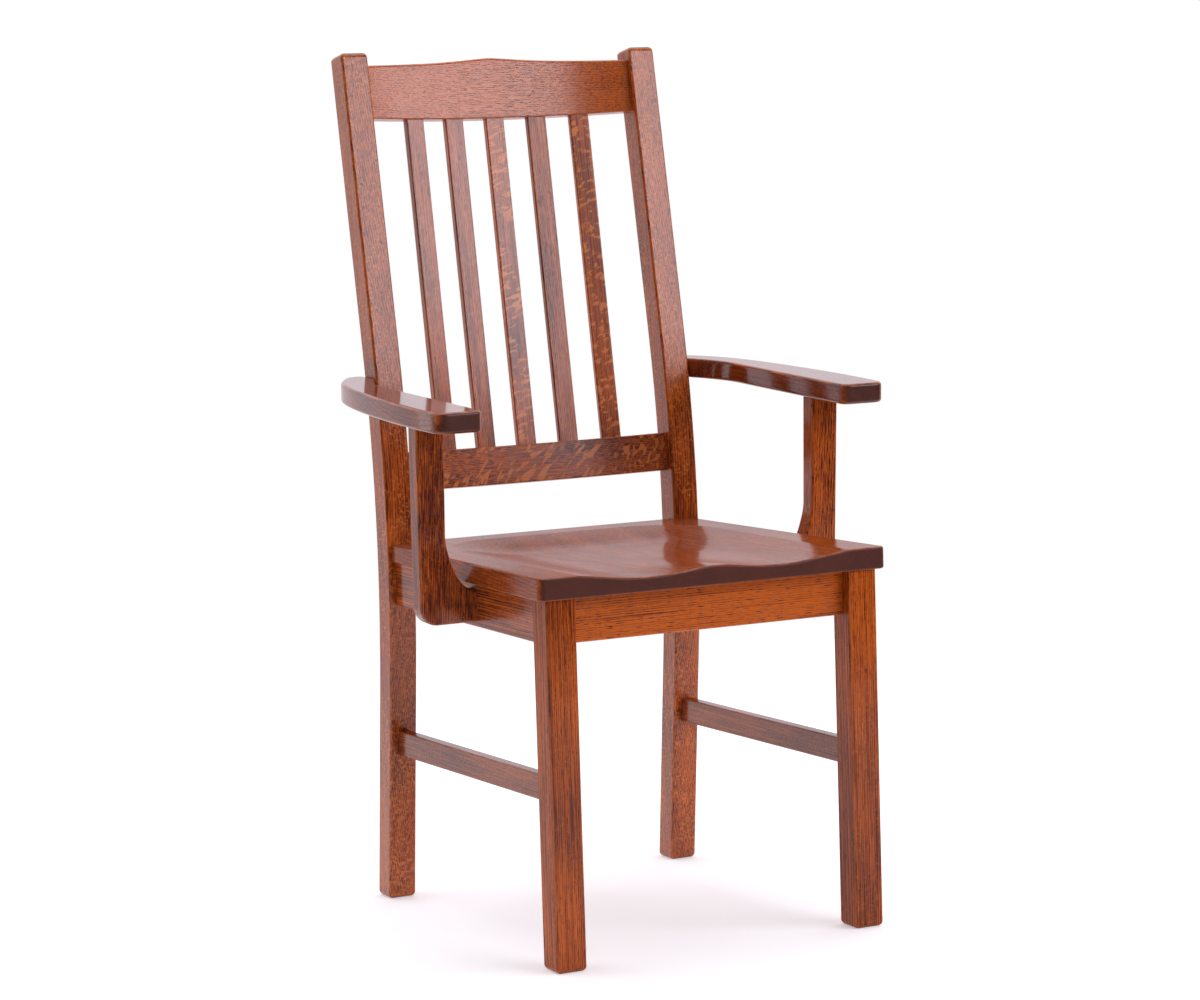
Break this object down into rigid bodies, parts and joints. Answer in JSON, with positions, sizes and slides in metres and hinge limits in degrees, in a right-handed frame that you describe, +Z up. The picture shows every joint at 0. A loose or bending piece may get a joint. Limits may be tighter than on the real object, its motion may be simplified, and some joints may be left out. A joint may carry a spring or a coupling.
{
  "type": "wooden armchair",
  "caption": "Stained oak armchair with a scooped plank seat, a raked and bowed slatted back, and flat curved arms carried on bracket supports.",
  "frame": {"origin": "on the floor, under the middle of the chair's box", "axes": "+Z up, +Y towards the back of the chair, +X to the right as seen from in front"},
  "size_m": [0.6072, 0.5914, 1.067],
  "materials": {
    "stained_oak": "reddish-brown stain under satin lacquer",
    "plain_hardwood": "bare hardwood, unfinished",
    "steel_screws": "zinc-plated steel"
  },
  "bodies": {
    "root": {"front_leg_left": "stained_oak", "back_post_left": "stained_oak", "side_apron_left": "stained_oak", "side_stretcher_left": "stained_oak", "arm_left": "stained_oak", "arm_support_left": "stained_oak", "corner_block_front_left": "plain_hardwood", "corner_block_rear_left": "plain_hardwood", "front_leg_right": "stained_oak", "back_post_right": "stained_oak", "side_apron_right": "stained_oak", "side_stretcher_right": "stained_oak", "arm_right": "stained_oak", "arm_support_right": "stained_oak", "corner_block_front_right": "plain_hardwood", "corner_block_rear_right": "plain_hardwood", "front_apron": "stained_oak", "rear_apron": "stained_oak", "lower_back_rail": "stained_oak", "crest_rail": "stained_oak", "seat_board_1": "stained_oak", "seat_board_2": "stained_oak", "seat_board_3": "stained_oak", "seat_board_4": "stained_oak", "seat_board_5": "stained_oak", "back_slat_1": "stained_oak", "back_slat_2": "stained_oak", "back_slat_3": "stained_oak", "back_slat_4": "stained_oak", "back_slat_5": "stained_oak", "block_screws": "steel_screws", "seat_screws": "steel_screws", "arm_support_screws": "steel_screws", "arm_support_dowels": "plain_hardwood", "arm_post_dowels": "plain_hardwood"}
  },
  "joints": []
}
